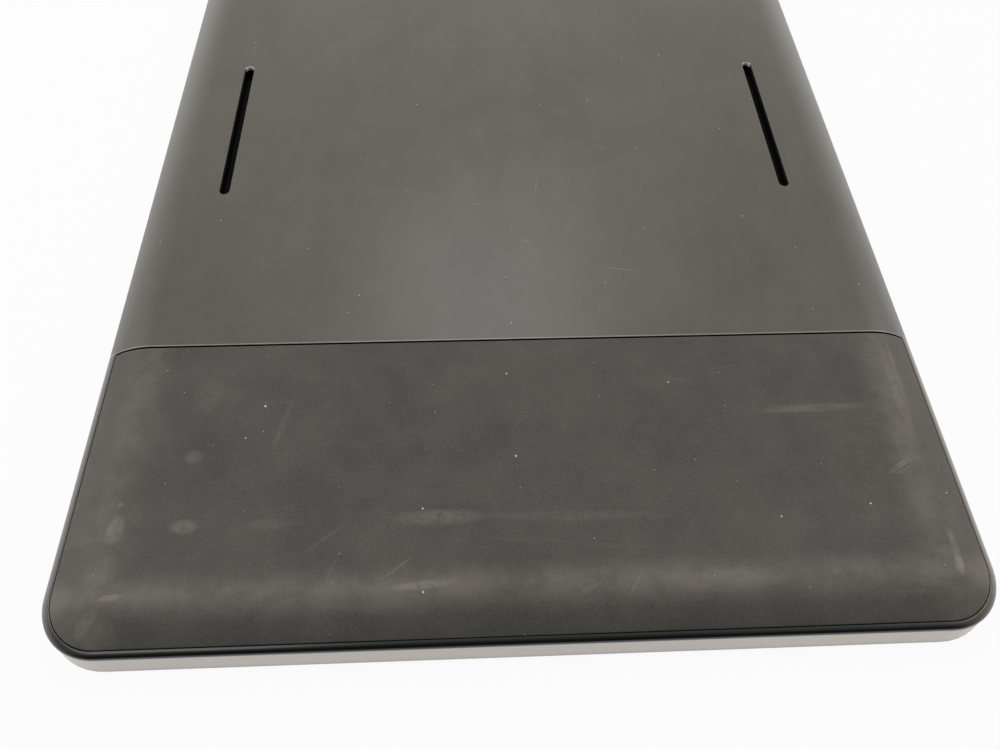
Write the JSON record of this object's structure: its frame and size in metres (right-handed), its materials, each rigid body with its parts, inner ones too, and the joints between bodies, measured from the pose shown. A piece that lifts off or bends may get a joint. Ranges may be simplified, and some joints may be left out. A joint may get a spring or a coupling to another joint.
{
  "type": "pen drawing tablet",
  "caption": "Flat pen display tablet lying face down: dark back with rubber end pads and stand slots, silver side band, glass screen, function keys and a rocker ring in front.",
  "frame": {"origin": "middle of the outline, on the plane of the front rim that the tablet lies on", "axes": "+Z out of the back, +Y along the length from the function keys to the cable port, +X across, towards the edge with the power button"},
  "size_m": [0.248, 0.375, 0.014],
  "materials": {
    "shell_plastic": "satin, fine texture",
    "pad_rubber": "matte, soft touch",
    "band_silver": "satin",
    "bezel_plastic": "matte",
    "cover_glass": "etched",
    "key_plastic": "satin",
    "ring_plastic": "satin",
    "display_panel": "gloss",
    "white_film": "matte",
    "guide_acrylic": "gloss",
    "sheet_steel": "mill",
    "cast_alloy": "cast",
    "screw_steel": "black zinc",
    "board_green": "solder mask",
    "chip_black": "moulded",
    "tin_lid": "tin",
    "flex_amber": "film",
    "tape_black": "tape",
    "liner_plastic": "matte",
    "dome_metal": "bright",
    "clear_rod": "gloss"
  },
  "bodies": {
    "root": {"rear_shell": "shell_plastic", "rubber_pad_key_end": "pad_rubber", "rubber_pad_port_end": "pad_rubber", "pad_tape_key_end": "tape_black", "pad_tape_port_end": "tape_black", "case_screws": "screw_steel", "slot_liner_left": "liner_plastic", "slot_liner_right": "liner_plastic", "side_band": "band_silver", "front_bezel": "bezel_plastic", "front_glass": "cover_glass", "glass_glue": "tape_black", "panel_gasket": "tape_black", "display_cell": "display_panel", "optical_films": "white_film", "light_guide": "guide_acrylic", "reflector_sheet": "white_film", "light_bar": "white_film", "panel_tray": "sheet_steel", "pen_sensor_board": "board_green", "sensor_shield": "sheet_steel", "chassis": "cast_alloy", "chassis_screws": "screw_steel", "main_board": "board_green", "main_board_screws": "screw_steel", "main_board_parts": "chip_black", "video_processor": "chip_black", "shield_can": "tin_lid", "cable_connectors": "liner_plastic", "display_flex": "flex_amber", "sensor_flex": "flex_amber", "key_flex": "flex_amber", "port_flex": "flex_amber", "key_board": "board_green", "key_board_screws": "screw_steel", "dome_switches": "dome_metal", "rocker_seat": "liner_plastic", "power_switch": "chip_black", "power_board": "board_green", "status_light": "white_film", "light_pipe": "clear_rod", "port_socket": "tin_lid", "port_board": "board_green"},
    "key_1": {"function_key_1": "key_plastic"},
    "key_2": {"function_key_2": "key_plastic"},
    "key_3": {"function_key_3": "key_plastic"},
    "key_4": {"function_key_4": "key_plastic"},
    "cross": {"rocker_cross": "liner_plastic"},
    "ring": {"rocker_ring": "ring_plastic"},
    "middle_button": {"centre_button": "key_plastic"},
    "power": {"power_button": "band_silver"}
  },
  "joints": [
    {"name": "key_1_press", "type": "slide", "parent": "root", "child": "key_1", "axis": [0, 0, 1], "range_m": [0, 0.0005], "stiffness_N_per_m": 1200},
    {"name": "key_2_press", "type": "slide", "parent": "root", "child": "key_2", "axis": [0, 0, 1], "range_m": [0, 0.0005], "stiffness_N_per_m": 1200},
    {"name": "key_3_press", "type": "slide", "parent": "root", "child": "key_3", "axis": [0, 0, 1], "range_m": [0, 0.0005], "stiffness_N_per_m": 1200},
    {"name": "key_4_press", "type": "slide", "parent": "root", "child": "key_4", "axis": [0, 0, 1], "range_m": [0, 0.0005], "stiffness_N_per_m": 1200},
    {"name": "middle_button_press", "type": "slide", "parent": "root", "child": "middle_button", "axis": [0, 0, 1], "range_m": [0, 0.0005], "stiffness_N_per_m": 1200},
    {"name": "ring_tilt_along_case", "type": "hinge", "parent": "cross", "child": "ring", "pos_m": [0, -0.1615, 0.00457], "axis": [1, 0, 0], "range_deg": [-1.5, 1.5], "stiffness_Nm_per_rad": 0.8},
    {"name": "ring_tilt_across_case", "type": "hinge", "parent": "root", "child": "cross", "pos_m": [0, -0.1615, 0.00457], "axis": [0, 1, 0], "range_deg": [-1.5, 1.5], "stiffness_Nm_per_rad": 0.8},
    {"name": "power_press", "type": "slide", "parent": "root", "child": "power", "axis": [-1, 0, 0], "range_m": [0, 0.0004], "stiffness_N_per_m": 1500}
  ]
}
